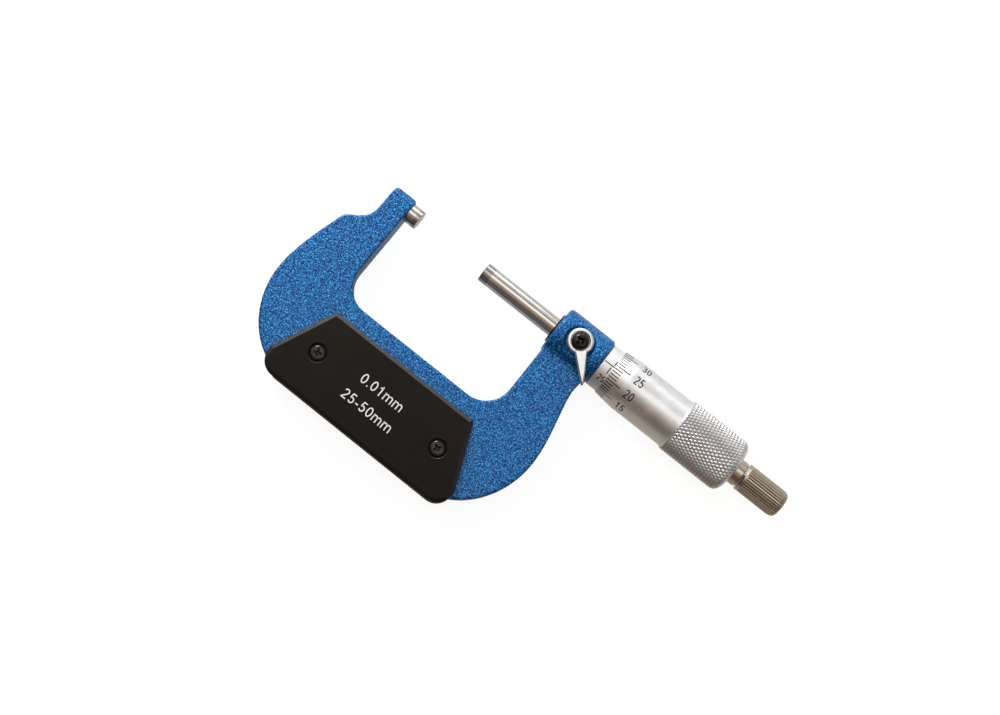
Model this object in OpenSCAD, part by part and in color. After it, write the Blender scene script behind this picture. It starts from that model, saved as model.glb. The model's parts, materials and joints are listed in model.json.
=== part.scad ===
// Outside micrometer, 25 to 50 mm, with a lever lock and a ratchet stop.
// The origin is the centre of the anvil's measuring face. +X runs along the spindle axis from
// the anvil to the ratchet, -Y runs from the axis into the bow, and +Z is the front of the frame.

/* [Range and reading] */
// Size shown by the scales, which is the gap between the two measuring faces
reading = 25.74; // [25:0.01:50]
// Smallest size of the measuring range
range_low = 25; // [25:1:25]
// Travel of the spindle from the smallest to the largest size
travel = 25; // [25:1:25]

/* [Frame] */
// Thickness of the cast web
frame_t = 8.5; // [7.6:0.1:10]
// Left edge of the anvil arm
arm_left = -12; // [-14:0.1:-10]
// Face of the anvil arm that the anvil stands out of
arm_face = -4; // [-5:0.1:-3.5]
// Top of the anvil arm above the spindle axis
arm_top = 4; // [3.6:0.1:5]
// Size of the slanted edges along the top of the anvil arm
arm_bevel = 2.2; // [1:0.1:2.5]
// Floor of the throat, below the spindle axis
throat_depth = 33.7; // [32:0.1:35]
// Radius of the throat's two corners
throat_r = 9.2; // [5:0.1:12]
// Lowest edge of the bow
bow_bottom = -65.3; // [-67:0.1:-62]
// Leftmost point of the bow
bow_left = -24; // [-26:0.1:-22]
// Rightmost point of the bow
bow_right = 74.7; // [74:0.1:77]
// Right wall of the throat, below the boss
throat_right = 55.1; // [55:0.1:56]

/* [Spindle boss] */
// Left end of the round boss that carries the spindle
boss_left = 54.5; // [54:0.1:55]
// Right end of the boss
boss_right = 72.1; // [71.8:0.1:72.4]
// Outer diameter of the boss
boss_d = 16.4; // [15.5:0.1:18]
// Radius of the boss's rounded ends
boss_round = 1.1; // [0.5:0.1:1.5]
// Radius of the fillet between the boss and the web
boss_fillet = 3; // [1:0.1:4]

/* [Insulating plates] */
// Thickness of each plate
plate_t = 2.6; // [2.2:0.1:3]
// Middle of both plates along the spindle axis
plate_mid = 26; // [25:0.1:27]
// Width of a plate's top edge
plate_top_w = 53.2; // [50:0.5:58]
// Greatest width of a plate
plate_w = 71.4; // [70:0.1:75]
// Top edge of the plates
plate_top = -39.2; // [-41:0.1:-37]
// Height at which a plate is widest
plate_knee = -60; // [-62:0.1:-58]
// Bottom edge of the plates
plate_bottom = -66.5; // [-68:0.1:-66]
// Distance between a plate's two screws
screw_spacing = 46.4; // [44:0.1:50]
// Height of the plate screws
screw_y = -52.6; // [-55:0.1:-51]
// Diameter of the pocket around a plate screw
screw_pocket_d = 5.9; // [5.2:0.1:6.5]

/* [Measuring faces] */
// Diameter of the spindle and of the anvil's head
spindle_d = 6.35; // [6.3:0.05:6.4]
// Length of the carbide tip on the spindle
spindle_tip_l = 3; // [1:0.1:3.5]
// Length of the carbide tip on the anvil
anvil_tip_l = 1.5; // [1:0.1:2]
// Diameter of the anvil's pressed shank
anvil_shank_d = 5; // [4:0.1:5.5]

/* [Spindle thread] */
// Pitch of the spindle's thread
pitch = 0.5; // [0.5:0.5:0.5]
// Outer diameter of the spindle's thread
thread_d = 7.35; // [7:0.05:7.4]
// Radial running clearance of the spindle in its guide and its nut
running_gap = 0.03; // [0.02:0.01:0.05]

/* [Sleeve and thimble] */
// Diameter of the graduated outer sleeve
sleeve_d = 15; // [14.8:0.1:15.2]
// Diameter of the thimble's smooth barrel
thimble_d = 17.1; // [17:0.1:17.6]
// Diameter over the thimble's knurl
knurl_d = 18.3; // [18:0.1:19]
// Length of the thimble's graduated bevel
bevel_l = 6.2; // [5:0.1:7]
// Length of the thimble from its edge to the start of the knurl
barrel_l = 26.4; // [26:0.1:27]
// Length of the whole thimble
thimble_l = 48.4; // [48:0.1:50]

/* [Ratchet stop] */
// Diameter of the ratchet stem's collar
collar_d = 8.5; // [8.2:0.1:9]
// Width of that collar
collar_l = 3; // [2.6:0.1:3.2]
// Diameter of the ratchet knob
knob_d = 9.3; // [9.1:0.1:9.8]
// Length of the ratchet knob
knob_l = 14.7; // [14:0.1:15]
// Number of ridges around the ratchet knob
knob_ridges = 32; // [28:1:40]
// Number of ratchet teeth, one click each
click_teeth = 12; // [12:1:12]
// Height of a ratchet tooth
tooth_h = 0.45; // [0.3:0.05:0.5]

/* [Lever lock] */
// Place of the lock's axis along the spindle
lock_x = 62.9; // [62.8:0.1:63.2]
// Direction in which the released lever points, about +Z from +X
lever_angle = -50; // [-60:1:-40]
// Length of the lever from its axis to its tip
lever_l = 13.6; // [12:0.1:15]
// Outer diameter of the lever's ring
lever_ring_d = 8.2; // [7.8:0.1:8.6]
// Diameter of the pocket that the ring sits in
lock_pocket_d = 9.9; // [9.4:0.1:10.4]
// Floor of that pocket above the spindle axis
lock_floor = 6.2; // [6:0.1:6.4]

/* [Hidden] */
$fn = 96;
eps = 0.01;

frame_z = frame_t / 2;
boss_r = boss_d / 2;
spindle_r = spindle_d / 2;
thread_r = thread_d / 2;
arm_round = 1.2;

// Depth of metal left behind the anvil's blind hole
anvil_back = 1.6;

// Spindle guide bush, with its flange standing out of the boss
bush_r = 4;
bush_flange_r = 5.1;
bush_flange_l = 0.6;
bush_end = 60.2;

// Bores behind the bush: a relief past the lock, then the seat of the inner sleeve
relief_r = 3.4;
seat_r = 5;
seat_x = 66.5;

// Inner sleeve, with the spindle's nut in its slotted rear end
inner_body_r = 6.2;
inner_bore_r = 3.9;
nut_x = 98;
nut_r = 4.75;
inner_end = 106;
slot_w = 0.8;
slot_count = 3;
adjusting_nut_x = 99.5;
adjusting_nut_l = 5.2;
adjusting_nut_r = 5.9;

// Outer sleeve
sleeve_gap = 0.05;
sleeve_x = boss_right + sleeve_gap;
sleeve_end = 101.5;
sleeve_bore_r = inner_body_r + 0.02;
spanner_hole_r = 0.8;
spanner_hole_x = 74.6;
spanner_hole_depth = 1;

// Thimble, placed by the reading; sleeve_show is the sleeve that shows at the smallest size
sleeve_show = 3.26;
thimble_x = boss_right + sleeve_show + reading - range_low;
thimble_bore_r = sleeve_d / 2 + 0.1;
thimble_edge_r = thimble_bore_r + 0.22;
chamber_x = thimble_x + 26.6;
chamber_r = 6.6;
cone_x = thimble_x + 32;
cone_l = 8;
cone_r = 3.5;
cone_end_r = 2.9;
thimble_end = thimble_x + thimble_l;
knurl_x = thimble_x + barrel_l;
knurl_step = 0.8;
end_round_x = 2.7;
end_face_r = 4.6;

// Spindle, with enough thread in front of the nut for the whole travel
thread_lead = 1.5;
thread_x = nut_x - travel - thread_lead + reading - range_low;
thread_end = cone_x - 0.6;
relief_l = 2 * pitch;
relief_depth = 0.1;
tap_r = 1.75;
tap_x = cone_x + 1;

// Ratchet stem, pawl, spring, knob and end screw
tap_spare = 0.5;
stem_shank_r = 2.5;
stem_thread_x = tap_x + tap_spare;
flange_end = thimble_end + collar_l;
groove_w = 0.7;
knob_x = flange_end + groove_w;
knob_end = knob_x + knob_l;
journal_r = 2;
journal_end = knob_end - 2.4;
pawl_hex_r = 3.7;
pawl_l = 2.2;
tooth_w = 0.9;
tooth_in_r = 2.2;
tooth_out_r = 3;
mesh_gap = 0.04;
pawl_end = flange_end + mesh_gap + pawl_l;
knob_wall = 2;
socket_end = journal_end - knob_wall;
end_pocket_r = 3.1;
end_head_r = 2.9;
end_head_l = 1.6;
end_thread_r = 1;
end_thread_l = 5;
spring_r = 2.65;
spring_wire_r = 0.28;
spring_turns = 6.5;

// Lever lock, stacked along Z from the spindle outwards
lock_hole_r = 2.5;
lock_gap = 0.15;
shoe_r = lock_hole_r - 0.06;
shoe_low = 2.4;
shoe_top = 4.6;
stud_r = lock_hole_r - 0.05;
stud_top = 6.6;
drive_w = 3.4;
drive_top = 8.3;
washer_t = 0.25;
washer_in_r = 2.7;
washer_out_r = 3.9;
ring_low = 6.65;
ring_top = 9.3;
blade_low = 8.3;
blade_top = 9.5;
blade_root_w = 3.7;
blade_tip_w = 0.7;
cup_r = 2.95;
cup_floor = 8.35;
lock_head_r = 2.8;
lock_head_side = 0.75;
lock_head_dome = 1;
lock_thread_r = 0.95;
lock_thread_l = 2.6;

// Plate screws
plate_hole_r = 1.35;
plate_tap_r = 1.2;
plate_pocket = 1.4;
plate_head_r = 2.5;
plate_head_l = 1.1;
plate_screw_l = 4.6;
cross_w = 0.55;
cross_l = 2.6;
cross_depth = 0.7;

steel = "silver";
satin_chrome = "gainsboro";
enamel = "steelblue";
plastic = [0.12, 0.12, 0.12];
nickel = [0.6, 0.54, 0.47];

// Points along a cubic curve from a to d, without a itself, steered by b and c
function curve(a, b, c, d, steps = 12) = [for (i = [1 : steps])
    let (t = i / steps, u = 1 - t) u * u * u * a + 3 * u * u * t * b + 3 * u * t * t * c + t * t * t * d];

// Unit vector from one point to another
function way(from, to) = (to - from) / norm(to - from);

// Points of an arc that rounds the corner p, met from a and left towards b, with radius r
function corner(a, p, b, r, steps = 10) =
    let (u = way(p, a), v = way(p, b))
    let (half = acos(u * v) / 2)
    let (centre = p + way([0, 0], u + v) * r / sin(half))
    let (from = p + u * r / tan(half) - centre, to = p + v * r / tan(half) - centre)
    [for (i = [0 : steps]) centre + r * way([0, 0], from * (1 - i / steps) + to * i / steps)];

// A closed outline whose corners are rounded, each with its own radius
function rounded(points, radii) = [for (i = [0 : len(points) - 1])
    let (n = len(points))
    each corner(points[(i + n - 1) % n], points[i], points[(i + 1) % n], radii[i])];

// A turned piece about the spindle axis, from points of [place along X, radius]
module turned(points) {
    rotate([0, 90, 0]) rotate_extrude() polygon([for (p = points) [p[1], p[0]]]);
}

// A round bar or bore along X
module bar(from, to, r) {
    translate([from, 0, 0]) rotate([0, 90, 0]) cylinder(h = to - from, r = r);
}

// A Phillips recess along -Z from the origin
module cross_recess(width, length, depth) {
    for (a = [0, 90])
        rotate([0, 0, a]) translate([-length / 2, -width / 2, -depth]) cube([length, width, depth + 1]);
}

// ---- Frame ----

module bow_outline() {
    low_left = [1, bow_bottom];
    wide_left = [bow_left, -38.5];
    shoulder = [-19.4, -15.4];
    shoulder_top = [-17, -12.4];
    arm_root = [arm_left, -5];
    neck = [70.6, -12.8];
    wide_right = [bow_right, -38];
    low_right = [49.6, bow_bottom];
    boss_run = boss_right - boss_round;
    polygon(concat(
        [low_left],
        curve(low_left, [-14, bow_bottom], [bow_left, -52], wide_left, 18),
        curve(wide_left, [bow_left, -30], [-20.8, -20.5], shoulder, 12),
        curve(shoulder, [-19, -13.5], [-18.2, -13.1], shoulder_top, 5),
        curve(shoulder_top, [-13.4, -10.2], [arm_left, -8.6], arm_root, 8),
        corner(arm_root, [arm_left, arm_top], [arm_face, arm_top], arm_round, 6),
        corner([arm_left, arm_top], [arm_face, arm_top], [arm_face, 0], arm_round, 6),
        [[arm_face, -1], [throat_right + 1, -1], [boss_run, -1], [boss_run, -7]],
        curve([boss_run, -7], [boss_run, -9.4], [neck[0], -11], neck, 6),
        curve(neck, [neck[0], -17.5], [bow_right, -28.5], wide_right, 14),
        curve(wide_right, [bow_right, -52], [64.5, bow_bottom], low_right, 18)));
}

module throat() {
    floor_y = -throat_depth;
    translate([arm_face, floor_y + throat_r]) square([throat_right - arm_face, throat_depth + boss_r]);
    translate([arm_face + throat_r, floor_y])
        square([throat_right - arm_face - 2 * throat_r, throat_r + eps]);
    for (x = [arm_face + throat_r, throat_right - throat_r])
        translate([x, floor_y + throat_r]) circle(throat_r);
}

// The web's slanted edges along the top of the anvil arm, front and back
module arm_bevels() {
    for (side = [1, -1])
        translate([arm_left - 1, 0, 0]) rotate([90, 0, 90])
            linear_extrude(height = arm_face - arm_left + 2)
                polygon([[arm_top - arm_bevel, side * (frame_z + 1)], [arm_top - arm_bevel, side * frame_z],
                    [arm_top, side * (frame_z - arm_bevel)], [arm_top + 1, side * (frame_z - arm_bevel)],
                    [arm_top + 1, side * (frame_z + 1)]]);
}

// The boss runs out into the web in a fillet on both faces
module boss_fillets() {
    reach = boss_r + boss_fillet;
    centre_z = frame_z + boss_fillet;
    centre_y = -sqrt(reach * reach - centre_z * centre_z);
    touch = [centre_y, centre_z] * boss_r / reach;
    for (side = [1, -1])
        translate([boss_left + boss_round, 0, 0]) rotate([90, 0, 90])
            linear_extrude(height = boss_right - boss_left - 2 * boss_round)
                difference() {
                    polygon([[touch[0] + 1, side * 3], [centre_y, side * 3], [centre_y, side * centre_z],
                        [touch[0], side * touch[1]]]);
                    translate([centre_y, side * centre_z]) circle(boss_fillet);
                }
}

module boss_body() {
    turned(concat([[boss_left, 0]],
        corner([boss_left, 0], [boss_left, boss_r], [boss_right, boss_r], boss_round, 5),
        corner([boss_left, boss_r], [boss_right, boss_r], [boss_right, 0], boss_round, 5),
        [[boss_right, 0]]));
}

module frame() {
    color(enamel) difference() {
        union() {
            difference() {
                translate([0, 0, -frame_z]) linear_extrude(height = frame_t) difference() {
                    bow_outline();
                    throat();
                }
                arm_bevels();
            }
            boss_body();
            boss_fillets();
        }
        bar(arm_left + anvil_back, arm_face + 1, anvil_shank_d / 2);
        bar(boss_left - 1, bush_end, bush_r);
        bar(bush_end - 1, seat_x + 1, relief_r);
        bar(seat_x, boss_right + 1, seat_r);
        translate([lock_x, 0, lock_floor]) cylinder(h = boss_r, r = lock_pocket_d / 2);
        translate([lock_x, 0, 0]) cylinder(h = boss_r, r = lock_hole_r);
        for (side = [-1, 1])
            translate([plate_mid + side * screw_spacing / 2, screw_y, -frame_t])
                cylinder(h = 2 * frame_t, r = plate_tap_r);
    }
}

// ---- Anvil ----

module anvil() {
    color(steel) turned([[arm_left + anvil_back, 0], [arm_left + anvil_back, anvil_shank_d / 2],
        [arm_face, anvil_shank_d / 2], [arm_face, spindle_r], [-anvil_tip_l, spindle_r],
        [-anvil_tip_l, 0]]);
}

module tip_disc(back, face) {
    edge = 0.15;
    inward = sign(back - face);
    turned([[back, 0], [back, spindle_r], [face + inward * edge, spindle_r],
        [face, spindle_r - edge], [face, 0]]);
}

module anvil_tip() {
    color("darkgray") tip_disc(-anvil_tip_l, 0);
}

// ---- Insulating plates and their screws ----

module plate_outline() {
    low_w = plate_w - 2.6;
    top = [plate_top_w / 2, plate_top];
    knee = [plate_w / 2, plate_knee];
    low = [low_w / 2, plate_bottom];
    left = [[-1, 0], [0, 1]];
    translate([plate_mid, 0]) polygon(rounded(
        [top, knee, low, left * low, left * knee, left * top],
        [0.8, 2, 5.4, 5.4, 2, 0.8]));
}

module plate_solid() {
    difference() {
        translate([0, 0, frame_z]) linear_extrude(height = plate_t) plate_outline();
        for (side = [-1, 1]) translate([plate_mid + side * screw_spacing / 2, screw_y, 0]) {
            cylinder(h = frame_t + plate_t, r = plate_hole_r);
            translate([0, 0, frame_z + plate_t - plate_pocket])
                cylinder(h = plate_t, r = screw_pocket_d / 2);
        }
    }
}

module plate_screw_pair() {
    seat_z = frame_z + plate_t - plate_pocket;
    for (side = [-1, 1]) translate([plate_mid + side * screw_spacing / 2, screw_y, seat_z])
        difference() {
            union() {
                cylinder(h = plate_head_l, r = plate_head_r);
                translate([0, 0, -plate_screw_l]) cylinder(h = plate_screw_l + eps, r = plate_tap_r);
            }
            translate([0, 0, plate_head_l]) cross_recess(cross_w, cross_l, cross_depth);
        }
}

module front_insulating_plate() { color(plastic) plate_solid(); }

module rear_insulating_plate() { color(plastic) mirror([0, 0, 1]) plate_solid(); }

module front_plate_screws() { color("dimgray") plate_screw_pair(); }

module rear_plate_screws() { color("dimgray") mirror([0, 0, 1]) plate_screw_pair(); }

// ---- Spindle guide and sleeves ----

module spindle_guide_bush() {
    bore_r = spindle_r + running_gap;
    color(plastic) turned([[boss_left - bush_flange_l, bore_r], [boss_left - bush_flange_l, bush_flange_r],
        [boss_left, bush_flange_r], [boss_left, bush_r], [bush_end, bush_r], [bush_end, bore_r]]);
}

module inner_sleeve() {
    color(steel) difference() {
        turned([[seat_x, inner_bore_r], [seat_x, seat_r], [boss_right, seat_r],
            [boss_right, inner_body_r], [nut_x, inner_body_r], [nut_x, nut_r], [inner_end, nut_r],
            [inner_end, thread_r + running_gap], [nut_x, thread_r + running_gap], [nut_x, inner_bore_r]]);
        for (i = [0 : slot_count - 1]) rotate([i * 360 / slot_count, 0, 0])
            translate([nut_x + 1, -slot_w / 2, 0]) cube([inner_end - nut_x, slot_w, boss_r]);
    }
}

module adjusting_nut() {
    flat = 1;
    color(steel) difference() {
        bar(adjusting_nut_x, adjusting_nut_x + adjusting_nut_l, adjusting_nut_r);
        bar(adjusting_nut_x - 1, inner_end, nut_r);
        for (a = [0, 180]) rotate([a, 0, 0])
            translate([adjusting_nut_x + adjusting_nut_l - flat, -slot_w, nut_r - 1])
                cube([flat + 1, 2 * slot_w, adjusting_nut_r]);
    }
}

module outer_sleeve() {
    edge = 0.3;
    sleeve_r = sleeve_d / 2;
    color(satin_chrome) difference() {
        turned([[sleeve_x, sleeve_bore_r], [sleeve_x, sleeve_r - edge], [sleeve_x + edge, sleeve_r],
            [sleeve_end - edge, sleeve_r], [sleeve_end, sleeve_r - edge], [sleeve_end, sleeve_bore_r]]);
        translate([spanner_hole_x, 0, -boss_r])
            cylinder(h = boss_r - sleeve_r + spanner_hole_depth, r = spanner_hole_r);
    }
}

// ---- Spindle and thimble ----

module spindle() {
    neck_r = spindle_r - relief_depth;
    color(steel) turned([[reading + spindle_tip_l, 0], [reading + spindle_tip_l, spindle_r],
        [thread_x - relief_l, spindle_r], [thread_x - relief_l, neck_r],
        [thread_x, neck_r], [thread_x, thread_r], [thread_end, thread_r],
        [thread_end, cone_r], [cone_x, cone_r], [cone_x + cone_l, cone_end_r],
        [cone_x + cone_l, tap_r], [tap_x, tap_r], [tap_x, 0]]);
}

module spindle_tip() {
    color("darkgray") tip_disc(reading + spindle_tip_l, reading);
}

module thimble() {
    smooth_r = thimble_d / 2;
    outer_r = knurl_d / 2;
    color(satin_chrome) turned(concat(
        [[thimble_x, thimble_bore_r], [thimble_x, thimble_edge_r], [thimble_x + bevel_l, smooth_r],
            [knurl_x - knurl_step, smooth_r], [knurl_x, outer_r], [thimble_end - end_round_x, outer_r]],
        curve([thimble_end - end_round_x, outer_r], [thimble_end - 1.1, outer_r],
            [thimble_end, smooth_r - 1.4], [thimble_end, end_face_r], 8),
        [[thimble_end, stem_shank_r], [cone_x + cone_l, stem_shank_r], [cone_x + cone_l, cone_end_r],
            [cone_x, cone_r], [cone_x, chamber_r], [chamber_x, chamber_r], [chamber_x, thimble_bore_r]]));
}

// ---- Ratchet stop ----

// A ring of saw teeth that stand out of the plane X = 0, each grown by a gap on all sides
module click_ring(gap) {
    for (i = [0 : click_teeth - 1]) rotate([i * 360 / click_teeth, 0, 0])
        translate([0, 0, tooth_in_r - gap])
            linear_extrude(height = tooth_out_r - tooth_in_r + 2 * gap)
                polygon([[-eps, -tooth_w / 2 - 2 * gap], [tooth_h + gap, tooth_w / 2 + gap],
                    [-eps, tooth_w / 2 + gap]]);
}

module ratchet_stem() {
    edge = 0.25;
    collar_r = collar_d / 2;
    color(nickel) difference() {
        union() {
            turned([[stem_thread_x, 0], [stem_thread_x, tap_r], [cone_x + cone_l, tap_r],
                [cone_x + cone_l, stem_shank_r], [thimble_end, stem_shank_r], [thimble_end, collar_r],
                [flange_end - edge, collar_r], [flange_end, collar_r - edge], [flange_end, journal_r],
                [journal_end, journal_r], [journal_end, 0]]);
            translate([flange_end, 0, 0]) click_ring(0);
        }
        bar(journal_end - end_thread_l - tap_spare, journal_end + 1, end_thread_r);
    }
}

module hex_bar(from, to, r) {
    translate([from, 0, 0]) rotate([0, 90, 0]) cylinder(h = to - from, r = r, $fn = 6);
}

module ratchet_pawl() {
    color(steel) difference() {
        hex_bar(flange_end + mesh_gap, pawl_end, pawl_hex_r);
        bar(flange_end, pawl_end + 1, journal_r + 0.05);
        translate([flange_end, 0, 0]) click_ring(mesh_gap);
    }
}

// A coil between the pawl and the end of the knob's socket
module ratchet_spring() {
    sides = 8;
    per_turn = 20;
    gap = 0.05;
    from = pawl_end + gap + spring_wire_r;
    to = socket_end - gap - spring_wire_r;
    rings = round(spring_turns * per_turn);
    points = [for (i = [0 : rings], j = [0 : sides - 1])
        let (a = 360 * i / per_turn, b = 360 * j / sides, r = spring_r + spring_wire_r * cos(b))
        [from + (to - from) * i / rings + spring_wire_r * sin(b), r * cos(a), r * sin(a)]];
    skin = [for (i = [0 : rings - 1], j = [0 : sides - 1])
        let (k = (j + 1) % sides, n = i * sides) [n + j, n + sides + j, n + sides + k, n + k]];
    caps = [[for (j = [0 : sides - 1]) j], [for (j = [0 : sides - 1]) rings * sides + sides - 1 - j]];
    color(steel) polyhedron(points = points, faces = concat(skin, caps));
}

module ratchet_knob() {
    ring_l = 0.9;
    ring_r = knob_d / 2;
    crest_r = ring_r - 0.04;
    valley_r = crest_r - 0.26;
    dome_r = valley_r - 0.04;
    dome_l = 2.2;
    end_r = 3.5;
    ridged = [for (i = [0 : 2 * knob_ridges - 1])
        let (a = 180 * i / knob_ridges, r = i % 2 == 0 ? crest_r : valley_r) [r * cos(a), r * sin(a)]];
    color(nickel) difference() {
        union() {
            bar(knob_x, knob_x + ring_l, ring_r);
            translate([knob_x + ring_l - eps, 0, 0]) rotate([0, 90, 0])
                linear_extrude(height = knob_l - ring_l - dome_l + eps) polygon(ridged);
            turned(concat([[knob_end - dome_l - eps, 0], [knob_end - dome_l - eps, dome_r]],
                curve([knob_end - dome_l - eps, dome_r], [knob_end - 0.7, dome_r],
                    [knob_end, dome_r - 0.3], [knob_end, end_r], 6), [[knob_end, 0]]));
        }
        hex_bar(knob_x - 1, socket_end, pawl_hex_r + 0.06);
        bar(socket_end - 1, knob_end, journal_r + 0.06);
        bar(journal_end, knob_end + 1, end_pocket_r);
    }
}

module ratchet_end_screw() {
    gap = 0.05;
    slot_depth = 0.6;
    head_x = journal_end + gap;
    color(nickel) difference() {
        union() {
            bar(journal_end - end_thread_l, head_x + eps, end_thread_r);
            bar(head_x, head_x + end_head_l, end_head_r);
        }
        translate([head_x + end_head_l - slot_depth, -end_head_r, -slot_w / 2])
            cube([slot_depth + 1, 2 * end_head_r, slot_w]);
    }
}

// ---- Lever lock ----

module lock_lever() {
    round_tip = blade_tip_w / 2;
    color(steel) translate([lock_x, 0, 0]) rotate([0, 0, lever_angle]) difference() {
        union() {
            translate([0, 0, ring_low]) cylinder(h = ring_top - ring_low, r = lever_ring_d / 2);
            translate([0, 0, blade_low]) linear_extrude(height = blade_top - blade_low) {
                polygon([[0, -blade_root_w / 2], [lever_ring_d / 2, -blade_root_w / 2],
                    [lever_l - round_tip, -round_tip], [lever_l - round_tip, round_tip],
                    [lever_ring_d / 2, blade_root_w / 2], [0, blade_root_w / 2]]);
                translate([lever_l - round_tip, 0]) circle(round_tip);
            }
        }
        translate([0, 0, ring_low - 1]) cylinder(h = stud_top - ring_low + 1, r = stud_r);
        translate([-drive_w / 2, -drive_w / 2, ring_low - 1]) cube([drive_w, drive_w, ring_top]);
        translate([0, 0, cup_floor]) cylinder(h = ring_top, r = cup_r);
    }
}

module lock_screw() {
    head_z = cup_floor;
    dome_z = head_z + lock_head_side;
    dome_r = lock_head_r;
    color(plastic) translate([lock_x, 0, 0]) rotate([0, 0, lever_angle]) difference() {
        union() {
            translate([0, 0, drive_top - lock_thread_l])
                cylinder(h = head_z - drive_top + lock_thread_l + eps, r = lock_thread_r);
            translate([0, 0, head_z]) cylinder(h = lock_head_side, r = dome_r);
            translate([0, 0, dome_z]) rotate_extrude()
                polygon(concat([[0, 0], [dome_r, 0]], [for (a = [15 : 15 : 90])
                    [dome_r * cos(a), lock_head_dome * sin(a)]]));
        }
        translate([0, 0, dome_z + lock_head_dome]) cross_recess(cross_w, cross_l, cross_depth + 0.2);
    }
}

module lock_stud() {
    color(steel) translate([lock_x, 0, 0]) rotate([0, 0, lever_angle]) difference() {
        union() {
            translate([0, 0, shoe_top]) cylinder(h = stud_top - shoe_top, r = stud_r);
            translate([-drive_w / 2, -drive_w / 2, stud_top - eps])
                cube([drive_w, drive_w, drive_top - stud_top + eps]);
        }
        translate([0, 0, drive_top - lock_thread_l - tap_spare])
            cylinder(h = lock_thread_l + 1, r = lock_thread_r);
    }
}

module lock_shoe() {
    color("goldenrod") difference() {
        translate([lock_x, 0, shoe_low]) cylinder(h = shoe_top - shoe_low, r = shoe_r);
        bar(lock_x - lock_hole_r - 1, lock_x + lock_hole_r + 1, spindle_r + lock_gap);
    }
}

module lock_washer() {
    color(steel) translate([lock_x, 0, lock_floor]) difference() {
        cylinder(h = washer_t, r = washer_out_r);
        translate([0, 0, -1]) cylinder(h = washer_t + 2, r = washer_in_r);
    }
}

frame();
anvil();
anvil_tip();
front_insulating_plate();
rear_insulating_plate();
front_plate_screws();
rear_plate_screws();
spindle_guide_bush();
inner_sleeve();
adjusting_nut();
outer_sleeve();
spindle();
spindle_tip();
thimble();
ratchet_stem();
ratchet_pawl();
ratchet_spring();
ratchet_knob();
ratchet_end_screw();
lock_lever();
lock_screw();
lock_stud();
lock_shoe();
lock_washer();
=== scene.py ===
"""Looks of an outside micrometer, 25 to 50 mm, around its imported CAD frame.

Lengths are in metres in the part's own frame: +X runs along the spindle axis from the anvil to the
ratchet, -Y runs from the axis into the bow, and +Z is the front. Values named with MM are written in
millimetres. Angles around the axis, called phi, start at +Z and grow towards +Y.
"""

import json
import math

import bmesh
import bpy
import numpy as np
from mathutils import Matrix, Vector, noise


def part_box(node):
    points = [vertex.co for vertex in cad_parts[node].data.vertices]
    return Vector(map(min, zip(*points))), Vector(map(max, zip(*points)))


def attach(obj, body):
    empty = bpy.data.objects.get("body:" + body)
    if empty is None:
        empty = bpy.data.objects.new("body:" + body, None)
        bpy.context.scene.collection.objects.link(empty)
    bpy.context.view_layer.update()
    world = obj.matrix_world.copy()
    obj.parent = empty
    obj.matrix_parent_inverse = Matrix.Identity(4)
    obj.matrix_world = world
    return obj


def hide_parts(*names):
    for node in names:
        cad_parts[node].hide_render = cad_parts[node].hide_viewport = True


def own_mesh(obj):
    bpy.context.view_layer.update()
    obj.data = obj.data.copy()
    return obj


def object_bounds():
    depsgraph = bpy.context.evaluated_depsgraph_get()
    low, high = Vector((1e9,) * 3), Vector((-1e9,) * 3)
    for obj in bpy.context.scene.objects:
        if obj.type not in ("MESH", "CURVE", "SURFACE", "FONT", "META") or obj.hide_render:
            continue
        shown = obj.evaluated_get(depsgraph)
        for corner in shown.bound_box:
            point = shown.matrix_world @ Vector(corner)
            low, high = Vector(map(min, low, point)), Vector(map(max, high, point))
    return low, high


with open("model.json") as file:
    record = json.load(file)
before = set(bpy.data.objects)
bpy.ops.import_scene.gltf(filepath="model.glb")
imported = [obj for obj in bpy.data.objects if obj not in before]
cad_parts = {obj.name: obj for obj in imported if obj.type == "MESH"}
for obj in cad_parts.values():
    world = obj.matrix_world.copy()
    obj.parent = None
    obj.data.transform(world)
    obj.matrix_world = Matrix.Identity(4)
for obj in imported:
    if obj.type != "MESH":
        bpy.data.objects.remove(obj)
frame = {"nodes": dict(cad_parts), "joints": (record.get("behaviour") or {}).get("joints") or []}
CAD_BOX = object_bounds()
MM = 0.001
TAU = 2 * math.pi
scene = bpy.context.scene

# ---- Places and sizes taken from the frame ----

SLEEVE_LOW, SLEEVE_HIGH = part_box("outer_sleeve")
SLEEVE_R = -SLEEVE_LOW.z
BOSS_TO_SLEEVE = 0.05 * MM
BOSS_END = SLEEVE_LOW.x - BOSS_TO_SLEEVE
THIMBLE_LOW, THIMBLE_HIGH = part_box("thimble")
THIMBLE_X = THIMBLE_LOW.x
THIMBLE_END = THIMBLE_HIGH.x
KNURL_R = -THIMBLE_LOW.z
KNOB_LOW, KNOB_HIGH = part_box("ratchet_knob")
KNOB_R = -KNOB_LOW.z
SPRING_LOW, SPRING_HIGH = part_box("ratchet_spring")
PLATE_LOW, PLATE_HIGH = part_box("front_insulating_plate")
PLATE_FACE = PLATE_HIGH.z
SCREW_LOW, SCREW_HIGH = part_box("front_plate_screws")
SHOE_LOW, SHOE_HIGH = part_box("lock_shoe")
LOCK = Vector(((SHOE_LOW.x + SHOE_HIGH.x) / 2, 0, 0))
PITCH = 0.5 * MM


def lever_direction():
    """Unit vector from the lock's axis to the lever's tip."""
    points = [v.co for v in frame["nodes"]["lock_lever"].data.vertices]
    tip = max(points, key=lambda p: (p.xy - LOCK.xy).length)
    return (tip.xy - LOCK.xy).normalized()


LEVER_WAY = lever_direction()
LEVER_ANGLE = math.atan2(LEVER_WAY.y, LEVER_WAY.x)


# ---- Materials ----


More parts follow.
